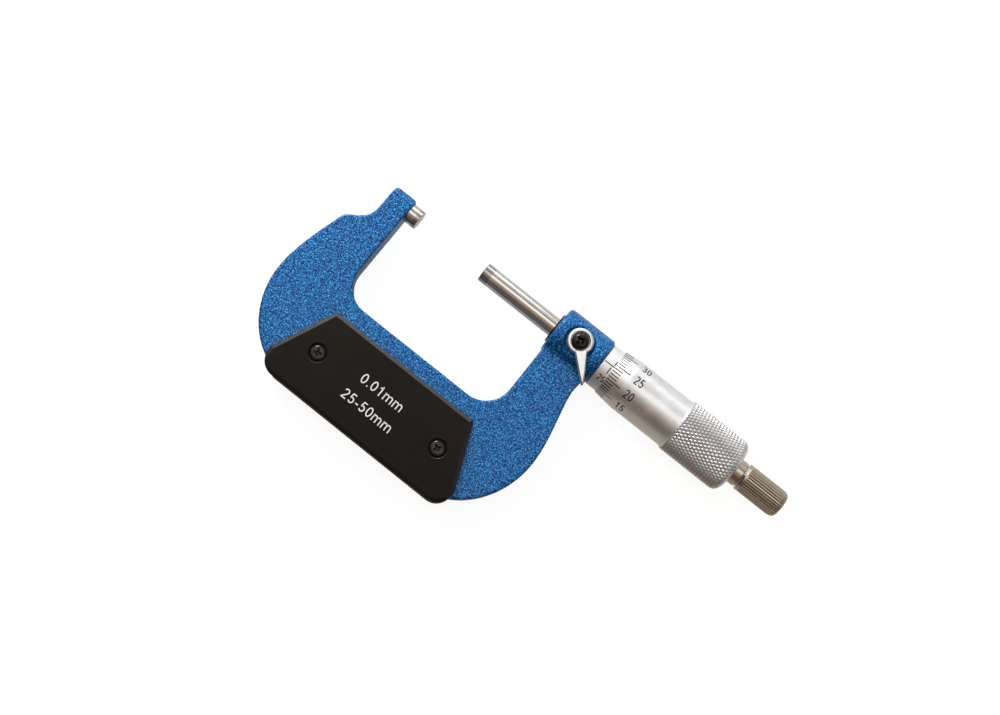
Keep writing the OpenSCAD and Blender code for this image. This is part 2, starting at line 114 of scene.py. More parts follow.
class Shader:
    """A procedural material under construction; texture scales are feature sizes in millimetres."""

    def __init__(self, name, **settings):
        self.material = bpy.data.materials.new(name)
        self.material.use_nodes = True
        self.tree = self.material.node_tree
        self.surface = self.tree.nodes["Principled BSDF"]
        self.place = self.node("TexCoord").outputs["Object"]
        self.set(**settings)

    def plug(self, node, values):
        """Sets inputs of a node, named with _ for a blank, to numbers, colours or other nodes' outputs."""
        for key, value in values.items():
            socket = node.inputs[key.replace("_", " ")]
            if isinstance(value, bpy.types.NodeSocket):
                self.tree.links.new(value, socket)
            elif isinstance(value, (tuple, list)) and len(value) == 3 and socket.type == "RGBA":
                socket.default_value = (*value, 1)
            else:
                socket.default_value = value

    def node(self, kind, settings=None, **values):
        """Adds a shader node, with its settings and its inputs."""
        made = self.tree.nodes.new("ShaderNode" + kind)
        for key, value in (settings or {}).items():
            setattr(made, key, value)
        self.plug(made, values)
        return made

    def set(self, **values):
        self.plug(self.surface, values)

    def stretched(self, x, y, z):
        """The object's coordinates with a scale for each axis."""
        return self.node("Mapping", Vector=self.place, Scale=(x, y, z)).outputs[0]

    def noise(self, size, detail=2.0, roughness=0.5, place=None):
        made = self.node("TexNoise", Vector=place or self.place, Scale=1 / (size * MM), Detail=detail,
                         Roughness=roughness)
        return made.outputs["Fac"]

    def ramp(self, value, *stops):
        """A ramp of (position, colour or grey level) stops."""
        made = self.node("ValToRGB", Fac=value)
        bar = made.color_ramp.elements
        while len(bar) < len(stops):
            bar.new(1)
        for element, (position, colour) in zip(bar, stops):
            element.position = position
            element.color = (*colour, 1) if isinstance(colour, tuple) else (colour, colour, colour, 1)
        return made.outputs["Color"]

    def mix(self, share, low, high):
        made = self.node("Mix", {"data_type": "RGBA"})
        for name, value in (("Factor", share), ("A", low), ("B", high)):
            socket = next(s for s in made.inputs if s.name == name and s.enabled)
            if isinstance(value, bpy.types.NodeSocket):
                self.tree.links.new(value, socket)
            else:
                socket.default_value = (*value, 1) if isinstance(value, tuple) else value
        return next(s for s in made.outputs if s.name == "Result" and s.enabled)

    def bump(self, height, depth, strength=1.0, below=None):
        """A relief as deep as stated in millimetres, laid over the relief below."""
        made = self.node("Bump", Height=height, Distance=depth * MM, Strength=strength)
        if below:
            self.tree.links.new(below, made.inputs["Normal"])
        return made.outputs["Normal"]

    def attribute(self, name):
        return self.node("Attribute", {"attribute_name": name}).outputs["Fac"]


def hammertone_enamel():
    """Blue enamel: pebbles in four tones of blue, dark in their hollows and light on their tops as painted
    shade and painted highlight, with lighter flecks on raised spots as painted highlights and darker flecks
    in hollows as painted shade.
    """
    pebble_size, pebble_depth = 0.68, 0.26
    fleck_size, fleck_depth = 0.42, 0.12
    relief_shaded_blues = ((0.34, (0.001, 0.030, 0.160)), (0.46, (0.001, 0.068, 0.262)),
             (0.55, (0.003, 0.112, 0.360)), (0.68, (0.018, 0.250, 0.600)))
    highlight_blue, shade_blue = (0.080, 0.400, 0.760), (0.001, 0.016, 0.100)
    s = Shader("hammertone_enamel", Metallic=0.45, Roughness=0.40, Specular_IOR_Level=0.12,
               Coat_Weight=0.25, Coat_Roughness=0.07)
    pebble = s.noise(pebble_size, 1.5, 0.5)
    fleck = s.noise(fleck_size, 1.2, 0.6)
    # Painted shade and painted highlight: the pebble noise also raises the bump, so the hollows get the
    # darker tones and the tops the lighter ones.
    base = s.ramp(pebble, *relief_shaded_blues)
    # Painted highlight on the raised flecks, painted shade in the fleck hollows.
    highlight_share = s.ramp(fleck, (0.55, 0.0), (0.66, 0.9))
    shade_share = s.ramp(fleck, (0.34, 0.85), (0.45, 0.0))
    colour = s.mix(highlight_share, base, highlight_blue)
    colour = s.mix(shade_share, colour, shade_blue)
    pebbles = s.bump(pebble, pebble_depth)
    s.set(Base_Color=colour, Normal=s.bump(fleck, fleck_depth, below=pebbles))
    return s.material


def plate_plastic():
    """Black plastic: the faces carry a moulded grain, the chamfers are smooth."""
    grain_size, grain_depth = 0.34, 0.085
    cloud_size = 14.0
    blacks = (0.0030, 0.0022, 0.0016), (0.0060, 0.0046, 0.0036)
    chamfer_roughness = (0.30, 0.30, 0.30)
    chamfer_gloss, face_gloss = 0.55, 0.16
    chamfer_tint, face_tint = (1.0, 0.97, 1.0), (1.0, 0.88, 0.78)
    s = Shader("plate_plastic")
    steep = s.node("SeparateXYZ", Vector=s.node("NewGeometry").outputs["Normal"]).outputs["Z"]
    level = s.node("Math", {"operation": "ABSOLUTE"}, Value=steep).outputs[0]
    face = s.node("MapRange", Value=level, From_Min=0.90, From_Max=0.97).outputs[0]
    grain = s.noise(grain_size, 2.5, 0.6)
    cloud = s.noise(cloud_size, 2.0, 0.5)
    s.set(Base_Color=s.ramp(cloud, (0.35, blacks[0]), (0.65, blacks[1])),
          Roughness=s.mix(face, chamfer_roughness, s.ramp(grain, (0.35, 0.38), (0.65, 0.54))),
          Specular_IOR_Level=s.ramp(face, (0.0, chamfer_gloss), (1.0, face_gloss)),
          Specular_Tint=s.ramp(face, (0.0, chamfer_tint), (1.0, face_tint)),
          Normal=s.bump(grain, grain_depth, 0.85))
    return s.material


def print_white():
    """White print, thin in places."""
    s = Shader("print_white", Roughness=0.55)
    worn = s.noise(0.35, 3.0, 0.7)
    s.set(Base_Color=s.ramp(worn, (0.30, (0.62, 0.66, 0.74)), (0.50, (0.80, 0.84, 0.90))),
          Normal=s.bump(worn, 0.01, 0.4))
    return s.material


def line_black():
    """The matt fill of the engraved lines and numbers."""
    s = Shader("line_black", Roughness=0.8, Specular_IOR_Level=0.05)
    fill = s.noise(0.12, 2.0, 0.6)
    s.set(Base_Color=s.ramp(fill, (0.30, (0.010, 0.008, 0.006)), (0.75, (0.032, 0.025, 0.020))))
    return s.material


def turned_metal(name, colour, roughness, line=0.05, depth=0.004, patch=0.05, around=0.0, groove=0.0,
                 valley_shade=(0.22, 0.21, 0.20)):
    """A turned or ground metal: fine lines around X, patchy roughness and, where knurled, valleys darkened by
    their depth as painted shade.

    line is the width of the lines and depth their depth, patch the spread of the roughness, around how
    much the lines stretch a reflection, and groove how far the valleys are darkened as painted shade.
    """
    cloud_size, dimming, line_stretch = 3.5, 0.90, 0.02
    s = Shader(name, Metallic=1.0)
    lines = s.noise(line, 2.0, 0.6, s.stretched(1, line_stretch, line_stretch))
    cloud = s.noise(cloud_size, 3.0, 0.55)
    dim = tuple(dimming * c for c in colour)
    tone = s.mix(s.ramp(cloud, (0.35, 0.0), (0.65, 1.0)), dim, colour)
    wear = s.node("MapRange", Value=cloud, From_Min=0.3, From_Max=0.7, To_Min=roughness - patch / 2,
                  To_Max=roughness + patch / 2)
    if groove:
        # Painted shade: the knurl's valleys are darkened towards the valley colour by their depth.
        depth_share = s.attribute("groove")
        tone = s.mix(s.ramp(depth_share, (0.10, 0.0), (0.95, groove)), tone, valley_shade)
    s.set(Base_Color=tone, Roughness=wear.outputs[0], Normal=s.bump(lines, depth, 0.6))
    if around:
        tangent = s.node("Tangent", {"direction_type": "RADIAL", "axis": "X"})
        s.set(Anisotropic=around, Tangent=tangent.outputs[0])
    return s.material


def black_oxide():
    """Blackened steel, a little oily."""
    s = Shader("black_oxide", Specular_IOR_Level=0.38)
    patch = s.noise(0.5, 3.0, 0.6)
    s.set(Base_Color=s.ramp(patch, (0.35, (0.003, 0.003, 0.003)), (0.70, (0.010, 0.009, 0.008))),
          Roughness=s.ramp(patch, (0.30, 0.14), (0.70, 0.24)), Normal=s.bump(patch, 0.01, 0.3))
    return s.material


def shoe_brass():
    """Plain brass."""
    s = Shader("shoe_brass", Metallic=1.0)
    cloud = s.noise(0.8, 3.0, 0.6)
    s.set(Base_Color=s.ramp(cloud, (0.3, (0.52, 0.36, 0.13)), (0.7, (0.74, 0.56, 0.24))),
          Roughness=s.ramp(cloud, (0.3, 0.30), (0.7, 0.42)))
    return s.material


ENAMEL = hammertone_enamel()
PLASTIC = plate_plastic()
PRINT = print_white()
LINES = line_black()
CHROME = (0.82, 0.82, 0.825)
SATIN = turned_metal("satin_chrome", CHROME, 0.56, 0.06, 0.003, patch=0.03, around=0.15)
KNURLED = turned_metal("knurled_chrome", CHROME, 0.40, 0.06, 0.003, groove=0.55)
GROUND = turned_metal("ground_steel", (0.64, 0.61, 0.585), 0.15, 0.035, 0.003, around=0.3)
CARBIDE = turned_metal("carbide", (0.42, 0.395, 0.375), 0.20, 0.05, 0.002)
NICKEL = turned_metal("nickel_steel", (0.54, 0.455, 0.365), 0.24, 0.05, 0.003, groove=0.9,
                      valley_shade=(0.055, 0.038, 0.026))
LEVER_CHROME = turned_metal("lever_chrome", (0.80, 0.785, 0.77), 0.36, 0.3, 0.002)
TURNED = turned_metal("turned_steel", (0.56, 0.56, 0.57), 0.30, 0.08, 0.006)
SPRING = turned_metal("spring_steel", (0.42, 0.42, 0.44), 0.28, 0.1, 0.003)
BLACK = black_oxide()
BRASS = shoe_brass()


# ---- Mesh helpers ----


def mesh_object(name, points, faces):
    """A new object of points and faces, linked to the scene."""
    mesh = bpy.data.meshes.new(name)
    mesh.from_pydata([tuple(p) for p in points], [], [tuple(f) for f in faces])
    made = bpy.data.objects.new(name, mesh)
    scene.collection.objects.link(made)
    return made


def face_outwards(obj):
    work = bmesh.new()
    work.from_mesh(obj.data)
    bmesh.ops.recalc_face_normals(work, faces=work.faces)
    work.to_mesh(obj.data)
    work.free()


def piece(obj, material, body, slot, *nodes, crease=32):
    """Finishes a piece: outward normals, smooth shading up to the crease angle, material, body."""
    face_outwards(obj)
    obj.data.shade_smooth()
    obj.data.set_sharp_from_angle(angle=math.radians(crease))
    obj.data.materials.clear()
    obj.data.materials.append(material)
    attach(obj, body)
    if nodes:
        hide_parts(*nodes)
    return obj


def flat_faced(obj):
    """Keeps large flat faces evenly shaded next to narrow rounded edges."""
    step = obj.modifiers.new("weighted", "WEIGHTED_NORMAL")
    step.weight = 100
    step.keep_sharp = True
    return settle(obj)


def settle(obj):
    """Applies the object's modifiers."""
    graph = bpy.context.evaluated_depsgraph_get()
    mesh = bpy.data.meshes.new_from_object(obj.evaluated_get(graph))
    obj.modifiers.clear()
    obj.data = mesh
    return obj


def combine(obj, others, operation):
    """Joins the other closed objects to this one, or cuts them out of it, and removes them."""
    for other in others:
        face_outwards(obj)
        face_outwards(other)
        step = obj.modifiers.new(operation, "BOOLEAN")
        step.operation = operation
        step.solver = "EXACT"
        step.object = other
        settle(obj)
        bpy.data.objects.remove(other)
    return obj


def bend(a, p, b, radius, steps):
    """Points of an arc that rounds the corner p, met from a and left towards b."""
    a, p, b = (np.array(q, float) for q in (a, p, b))
    u, v = (a - p) / np.linalg.norm(a - p), (b - p) / np.linalg.norm(b - p)
    half = math.acos(max(-1.0, min(1.0, float(u @ v)))) / 2
    if math.pi / 2 - half < 1e-3 or radius <= 0:
        return [tuple(p)]
    middle = (u + v) / np.linalg.norm(u + v)
    centre = p + middle * radius / math.sin(half)
    start, end = p + u * radius / math.tan(half) - centre, p + v * radius / math.tan(half) - centre
    arc_points = []
    for t in np.linspace(0, 1, steps + 1):
        way = start * (1 - t) + end * t
        arc_points.append(tuple(centre + radius * way / np.linalg.norm(way)))
    return arc_points


def rounded(points, closed, steps=3):
    """An outline of (x, y) or (x, y, radius) points, with an arc at each point that states a radius."""
    result = []
    count = len(points)
    for i, point in enumerate(points):
        inner = closed or 0 < i < count - 1
        if len(point) == 3 and inner:
            result += bend(points[i - 1][:2], point[:2], points[(i + 1) % count][:2], point[2], steps)
        else:
            result.append(tuple(point[:2]))
    return result


def turned(name, rows, count=128, ring=False):
    """A surface about X through rows of (x, r); r is a number, or an array of one radius per step of phi."""
    phi = TAU * np.arange(count) / count
    points, faces, starts = [], [], []
    for x, r in rows:
        pole = np.isscalar(r) and r == 0
        starts.append((len(points), 1 if pole else count))
        if pole:
            points.append((x, 0, 0))
        else:
            radii = np.broadcast_to(r, count)
            points += list(zip([x] * count, radii * np.sin(phi), radii * np.cos(phi)))
    for (a, size_a), (b, size_b) in zip(starts, starts[1:] + (starts[:1] if ring else [])):
        for i in range(count):
            j = (i + 1) % count
            if size_a == 1:
                faces.append((a, b + i, b + j))
            elif size_b == 1:
                faces.append((a + i, b, a + j))
            else:
                faces.append((a + i, b + i, b + j, a + j))
    return mesh_object(name, points, faces)


def mm_rows(points, closed, steps=3):
    """Rows in metres from an outline in millimetres, its stated corners rounded."""
    return [(x * MM, r * MM) for x, r in rounded(points, closed, steps)]


def standing(obj, place=Vector((0, 0, 0))):
    """Moves a piece turned about X so that its axis stands along +Z at the given place."""
    upright = Matrix(((0, 1, 0, 0), (0, 0, 1, 0), (1, 0, 0, 0), (0, 0, 0, 1)))
    obj.data.transform(Matrix.Translation(place) @ upright)
    return obj


def tube_faces(levels, count):
    """Faces of a closed tube of stacked outlines that each have count points: two ends, then the sides."""
    last = (levels - 1) * count
    ends = [tuple(range(count)), tuple(range(last, last + count))]
    sides = [(low + i, low + (i + 1) % count, low + count + (i + 1) % count, low + count + i)
             for low in range(0, last, count) for i in range(count)]
    return ends + sides


def merge(name, parts):
    """One object from several closed pieces."""
    work = bmesh.new()
    for part in parts:
        work.from_mesh(part.data)
        bpy.data.objects.remove(part)
    mesh = bpy.data.meshes.new(name)
    work.to_mesh(mesh)
    work.free()
    made = bpy.data.objects.new(name, mesh)
    scene.collection.objects.link(made)
    return made


def mirrored(obj):
    """The same object on the back of the frame."""
    obj.data.transform(Matrix.Scale(-1, 4, (0, 0, 1)))
    return obj


def groove_attribute(obj, rows, full_radius, depth):
    """Stores how deep each vertex lies below its row's full radius, as a share of the depth."""
    values = []
    for (_, r), full in zip(rows, full_radius):
        if np.isscalar(r):
            values += [0.0] * (1 if r == 0 else obj["count"])
        else:
            values += list(np.clip((full - r) / depth, 0, 1))
    layer = obj.data.attributes.new("groove", "FLOAT", "POINT")
    layer.data.foreach_set("value", np.array(values, np.float32))


# ---- Frame: cast, rounded and painted in hammertone ----

VOXEL = 0.27 * MM
ROUNDING_STEPS = 9
ROUNDING_SHARE = 0.5
PEBBLE = 0.75 * MM
PEBBLE_H = 0.055 * MM
PEBBLE_LIMIT = 0.8
SMALL_PEBBLE = 0.45 * PEBBLE
SMALL_PEBBLE_SHARE = 0.5


def neighbours_mean(co, edges):
    """The mean place of each vertex's neighbours."""
    total = np.zeros_like(co)
    count = np.zeros(len(co))
    for a, b in ((0, 1), (1, 0)):
        np.add.at(total, edges[:, a], co[edges[:, b]])
        np.add.at(count, edges[:, a], 1)
    return total / count[:, None]


def pebbled_frame():
    """The CAD frame with its edges rounded as cast, and the relief of the thick enamel."""
    made = frame["nodes"]["frame"].copy()
    made.data = made.data.copy()
    made.name = "frame_casting"
    made.parent = None
    made.matrix_world = Matrix.Identity(4)
    scene.collection.objects.link(made)
    remesh = made.modifiers.new("remesh", "REMESH")
    remesh.mode = "VOXEL"
    remesh.voxel_size = VOXEL
    settle(made)
    mesh = made.data
    co = np.zeros(len(mesh.vertices) * 3)
    mesh.vertices.foreach_get("co", co)
    co = co.reshape(-1, 3)
    edges = np.zeros(len(mesh.edges) * 2, int)
    mesh.edges.foreach_get("vertices", edges)
    edges = edges.reshape(-1, 2)
    for _ in range(ROUNDING_STEPS):
        co += ROUNDING_SHARE * (neighbours_mean(co, edges) - co)
    mesh.vertices.foreach_set("co", co.ravel())
    mesh.update()
    normals = np.zeros(len(mesh.vertices) * 3)
    mesh.vertices.foreach_get("normal", normals)
    relief = np.array([noise.noise(Vector(p) / PEBBLE)
                       + SMALL_PEBBLE_SHARE * noise.noise(Vector(p) / SMALL_PEBBLE) for p in co])
    height = PEBBLE_H * np.clip(relief, -PEBBLE_LIMIT, PEBBLE_LIMIT)
    co += normals.reshape(-1, 3) * height[:, None]
    mesh.vertices.foreach_set("co", co.ravel())
    mesh.update()
    return piece(made, ENAMEL, "frame_body", "frame_enamel", "frame", crease=180)


# ---- Insulating plates, their screws and the print ----

PLATE_TOP_HALF = 26.6 * MM
PLATE_KNEE_Y = -60 * MM
PLATE_FOOT_INSET = 1.3 * MM
# Corner radii of half a plate's outline, at its top, its knee and its foot
PLATE_RADII = [0.9 * MM, 2 * MM, 5.4 * MM]
SHARPEST = 0.1 * MM
CHAMFER_W = 1.25 * MM
CHAMFER_H = 0.80 * MM
# How far the rounded chamfer has dropped and moved inwards, as shares of its height and width
CHAMFER_STEPS = ((1.0, 0.0), (0.86, 0.05), (0.14, 0.86), (0.03, 0.95), (0.0, 1.0))
SCREW_HEAD_R = 2.5 * MM
SCREW_Y = (SCREW_LOW.y + SCREW_HIGH.y) / 2
SCREW_PLACES = [(SCREW_LOW.x + SCREW_HEAD_R, SCREW_Y), (SCREW_HIGH.x - SCREW_HEAD_R, SCREW_Y)]
SCREW_SEAT = PLATE_FACE - 1.4 * MM
SCREW_TURNS = (0.35, 1.0)


def plate_outline(inset):
    """The plate's outline, moved inwards by an inset."""
    middle = (PLATE_LOW.x + PLATE_HIGH.x) / 2
    knee = (PLATE_HIGH.x - middle, PLATE_KNEE_Y)
    top = (PLATE_TOP_HALF, PLATE_HIGH.y)
    foot = (knee[0] - PLATE_FOOT_INSET, PLATE_LOW.y)
    half = [np.array(p) for p in (top, knee, foot)]
    points = half + [p * (-1, 1) for p in reversed(half)]
    radii = PLATE_RADII + PLATE_RADII[::-1]
    moved = []
    for i, p in enumerate(points):
        before, after = points[i - 1] - p, points[(i + 1) % len(points)] - p
        u, v = before / np.linalg.norm(before), after / np.linalg.norm(after)
        half_angle = math.acos(float(u @ v)) / 2
        middle_way = (u + v) / np.linalg.norm(u + v)
        moved.append(p + middle_way * inset / math.sin(half_angle))
    sized = [(*p, r - 0.9 * inset if r > inset else SHARPEST) for p, r in zip(moved, radii)]
    return [(x + middle, y) for x, y in rounded(sized, True, 8)]


def slab(name, levels):
    """A closed slab from (z, outline) levels that have the same number of points."""
    points = [(x, y, z) for z, outline in levels for x, y in outline]
    return mesh_object(name, points, tube_faces(len(levels), len(levels[0][1])))


def insulating_plate(name):
    """A chamfered plate with a pocket and a hole for each of its two screws."""
    levels = [(PLATE_LOW.z, 0)]
    levels += [(PLATE_FACE - CHAMFER_H * drop, CHAMFER_W * inwards) for drop, inwards in CHAMFER_STEPS]
    plate = slab(name, [(z, plate_outline(inset)) for z, inset in levels])
    below, seat, face, above = PLATE_LOW.z / MM - 1, SCREW_SEAT / MM, PLATE_FACE / MM, PLATE_FACE / MM + 1
    hole_r, pocket_r, rim_r, above_r = 1.35, 2.95, 3.2, 3.6
    cutters = []
    for x, y in SCREW_PLACES:
        rows = mm_rows([(below, 0), (below, hole_r), (seat, hole_r), (seat, pocket_r, 0.1),
                        (face - 0.25, pocket_r, 0.1), (face, rim_r), (above, above_r), (above, 0)], False)
        cutters.append(standing(turned("pocket", rows, 64), Vector((x, y, 0))))
    return combine(plate, cutters, "DIFFERENCE")


# Signs of a rectangle's corners, taken round it
CORNERS = ((-1, -1), (1, -1), (1, 1), (-1, 1))


def cross_cutters(place, turn, length, width, depth):
    """Two tapered blades that cut a Phillips recess downwards from a place."""
    bottom_share, above, width_taper = 0.18, 0.6, 0.4
    top_share = 1 + above * (1 - bottom_share)
    blades = []
    for quarter in (0, math.pi / 2):
        points = []
        for z, share in ((-depth, bottom_share), (0, 1.0), (above * depth, top_share)):
            half_w = width / 2 * (1 - width_taper + width_taper * share)
            points += [(sx * length / 2 * share, sy * half_w, z) for sx, sy in CORNERS]
        blade = mesh_object("blade", points, tube_faces(3, 4))
        blade.data.transform(Matrix.Translation(place) @ Matrix.Rotation(turn + quarter, 4, "Z"))
        blades.append(blade)
    return blades


def plate_screws(name):
    """The two screws of a plate, each with a low domed head and a Phillips recess."""
    low, seat, top = SCREW_LOW.z / MM, SCREW_SEAT / MM, SCREW_HIGH.z / MM
    point_r, shank_r, head_r, dome_r = 0.9, 1.2, SCREW_HEAD_R / MM, 1.9
    recess_l, recess_w, recess_depth = 2.9 * MM, 0.72 * MM, 0.95 * MM
    screws = []
    for turn, (x, y) in zip(SCREW_TURNS, SCREW_PLACES):
        rows = mm_rows([(low, 0), (low, point_r, 0.1), (low + 0.4, shank_r, 0.1), (seat, shank_r, 0.1),
                        (seat, head_r, 0.1), (top - 0.35, head_r, 0.3), (top - 0.04, dome_r, 1.2),
                        (top, 0)], False)
        screw = standing(turned("screw", rows, 64), Vector((x, y, 0)))
        recess = cross_cutters(Vector((x, y, SCREW_HIGH.z)), turn, recess_l, recess_w, recess_depth)
        screws.append(combine(screw, recess, "DIFFERENCE"))
    return merge(name, screws)


# ---- Lettering and graduations: thin solids laid on a surface ----


def arc(cx, cy, rx, ry, start, end, steps=10):
    """Points of an arc of an ellipse between two angles in degrees."""
    return [(cx + rx * math.cos(math.radians(a)), cy + ry * math.sin(math.radians(a)))
            for a in np.linspace(start, end, steps)]


# Strokes one unit high, with the width each character takes
STROKES = {
    "0": (0.60, [arc(0.30, 0.5, 0.215, 0.44, 0, 360, 25)]),
    "1": (0.60, [[(0.345, 0.0), (0.345, 1.0)], [(0.335, 0.93), (0.25, 0.81), (0.12, 0.74)]]),
    "2": (0.60, [arc(0.295, 0.70, 0.205, 0.24, 165, -38) + [(0.10, 0.10)], [(0.05, 0.06), (0.53, 0.06)]]),
    "3": (0.60, [arc(0.29, 0.725, 0.19, 0.215, 155, -90) + arc(0.29, 0.285, 0.215, 0.225, 80, -155)]),
    "4": (0.60, [[(0.42, 0.0), (0.42, 1.0)], [(0.41, 0.95), (0.07, 0.29), (0.56, 0.29)]]),
    "5": (0.60, [[(0.51, 0.94), (0.18, 0.94), (0.11, 0.49)], arc(0.285, 0.325, 0.22, 0.265, 142, -152)]),
    "m": (0.94, [[(0.09, 0.0), (0.09, 0.72)], arc(0.285, 0.46, 0.185, 0.2, 165, 0) + [(0.47, 0.0)],
                 arc(0.665, 0.46, 0.185, 0.2, 165, 0) + [(0.85, 0.0)]]),
    "-": (0.38, [[(0.04, 0.34), (0.34, 0.34)]]),
    ".": (0.26, [[(0.13, 0.0), (0.13, 0.14)]]),
}
LETTER_GAP = 0.10


def lettering(text, left, low, height, width):
    """Paths of a line of text that fills a width and a height."""
    paths, pen = [], 0.0
    for letter in text:
        advance, strokes = STROKES[letter]
        paths += [[(pen + x, y) for x, y in stroke] for stroke in strokes]
        pen += advance + LETTER_GAP
    span = pen - LETTER_GAP
    return [[(left + x / span * width, low + y * height) for x, y in path] for path in paths]


def finely(path, step):
    """The same path with no segment longer than the step."""
    fine = [path[0]]
    for a, b in zip(path, path[1:]):
        parts = max(1, math.ceil(math.dist(a, b) / step))
        fine += [tuple(np.array(a) + (np.array(b) - a) * k / parts) for k in range(1, parts + 1)]
    return fine


def ribbon(path, width, place, low, high, step):
    """Points and faces of a flat bar along a path; place(u, v, h) puts a point on its surface."""
    path = [np.array(p) for p in finely(path, step)]
    closed = np.linalg.norm(path[0] - path[-1]) < 1e-7
    if closed:
        path = path[:-1]
    count = len(path)
    points = []
    for i, p in enumerate(path):
        before = p - path[i - 1] if closed or i > 0 else path[1] - p
        after = path[(i + 1) % count] - p if closed or i < count - 1 else before
        u, v = before / np.linalg.norm(before), after / np.linalg.norm(after)
        side = np.array((-(u + v)[1], (u + v)[0])) / np.linalg.norm(u + v)
        reach = width / 2 / max(0.6, float(side @ (-u[1], u[0])))
        for share, h in ((1, high), (-1, high), (-1, low), (1, low)):
            points.append(place(*(p + side * reach * share), h))
    faces = [(4 * i + k, 4 * i + (k + 1) % 4, 4 * ((i + 1) % count) + (k + 1) % 4, 4 * ((i + 1) % count) + k)
             for i in range(count if closed else count - 1) for k in range(4)]
    if not closed:
        faces += [(0, 1, 2, 3), tuple(4 * (count - 1) + k for k in range(4))]
    return points, faces


def laid(name, jobs, low, high, step):
    """One object from (path, width, place) jobs."""
    points, faces = [], []
    for path, width, place in jobs:
        more_points, more_faces = ribbon(path, width, place, low, high, step)
        faces += [tuple(len(points) + k for k in face) for face in more_faces]
        points += more_points
    return mesh_object(name, points, faces)


def plate_print():
    """The graduation and the range, printed on the front plate."""
    height, stroke = 3.25 * MM, 0.37 * MM
    sunk, raised, step = -0.02 * MM, 0.035 * MM, 0.5 * MM
    # Text, left end, foot and width of each line
    rows = (("0.01mm", 17.9 * MM, -51.45 * MM, 15.6 * MM), ("25-50mm", 16.3 * MM, -58.5 * MM, 18.5 * MM))

    def place(u, v, h):
        return (u, v, PLATE_FACE + h)

    jobs = [(path, stroke, place) for text, left, low, width in rows
            for path in lettering(text, left, low, height, width)]
    return laid("front_plate_print", jobs, sunk, raised, step)


INDEX_PHI = math.radians(2.5)
LINE_W = 0.33 * MM
INLAY_LOW, INLAY_HIGH = -0.03 * MM, 0.008 * MM
# From the boss to the sleeve's first line, which stands for the range's smallest size
FIRST_LINE = 3.16 * MM
RANGE_LOW, TRAVEL = 25, 25
# Start and length of the sleeve's lines, measured from the index line along the arc
WHOLE_LINE = -0.6 * MM, -2.1 * MM
HALF_LINE = 0.5 * MM, 1.7 * MM
FIFTH_LONGER = 1.15


def on_round(radius, phi):
    """A placing rule for a surface about X; radius is a function of x, and v runs along the arc to +Y."""
    def place(u, v, h):
        r = radius(u)
        angle = phi + v / r
        return (u, (r + h) * math.sin(angle), (r + h) * math.cos(angle))
    return place


def sleeve_graduations():
    """Index line, a line each half millimetre on alternate sides, and a number each 5 mm."""
    number_left, number_foot, number_h, number_w = -1.75 * MM, -6.3 * MM, 2.2 * MM, 2.5 * MM
    stroke, step = 0.32 * MM, 0.25 * MM
    place = on_round(lambda x: SLEEVE_R, INDEX_PHI)
    index_start, index_end = SLEEVE_LOW.x + 0.3 * MM, SLEEVE_HIGH.x - 0.4 * MM
    jobs = [([(index_start, 0), (index_end, 0)], LINE_W, place)]
    for half_mm in range(2 * TRAVEL + 1):
        x = BOSS_END + FIRST_LINE + half_mm * PITCH
        start, length = HALF_LINE if half_mm % 2 else WHOLE_LINE
        numbered = half_mm % 10 == 0
        if numbered:
            length *= FIFTH_LONGER
        jobs.append(([(x, start), (x, start + length)], LINE_W, place))
        if numbered:
            number = str(RANGE_LOW + half_mm // 2)
            paths = lettering(number, x + number_left, number_foot, number_h, number_w)
            jobs += [(path, stroke, place) for path in paths]
    return laid("sleeve_graduations", jobs, INLAY_LOW, INLAY_HIGH, step)


BEVEL_L = 6.2 * MM
BARREL_R = 8.55 * MM
EDGE_R = SLEEVE_R + 0.32 * MM
DIVISIONS = 50
DIVISION_AT_LINE = 24


def thimble_radius(x):
    """Radius of the thimble's bevel and barrel."""
    share = min(1.0, max(0.0, (x - THIMBLE_X) / BEVEL_L))
    return EDGE_R + (BARREL_R - EDGE_R) * share


def thimble_graduations():
    """A line for each division on the bevel, every fifth one longer and numbered on the barrel."""
    long_line, short_line = 5.2 * MM, 3.0 * MM
    number_left, number_foot, number_h = 7.06 * MM, -1.5 * MM, 3.0 * MM
    digit_w, two_digits_w = 1.45 * MM, 3.2 * MM
    stroke, step = 0.36 * MM, 0.3 * MM
    jobs = []
    for division in range(DIVISIONS):
        phi = INDEX_PHI + (division - DIVISION_AT_LINE) * TAU / DIVISIONS
        place = on_round(thimble_radius, phi)
        fifth = division % 5 == 0
        length = long_line if fifth else short_line
        jobs.append(([(THIMBLE_X + 0.05 * MM, 0), (THIMBLE_X + length, 0)], LINE_W, place))
        if fifth:
            number = str(division)
            number_w = digit_w if len(number) == 1 else two_digits_w
            paths = lettering(number, THIMBLE_X + number_left, number_foot, number_h, number_w)
            jobs += [(path, stroke, place) for path in paths]
    return laid("thimble_graduations", jobs, INLAY_LOW, INLAY_HIGH, step)


# ---- Sleeve, spindle and thimble ----

AROUND = 384
# From the thimble's edge to its knurl, to the end of its bore and to the cone that it sits on
BARREL_L = 26.4 * MM
THIMBLE_BORE = 26.6 * MM
THIMBLE_CONE = 32 * MM


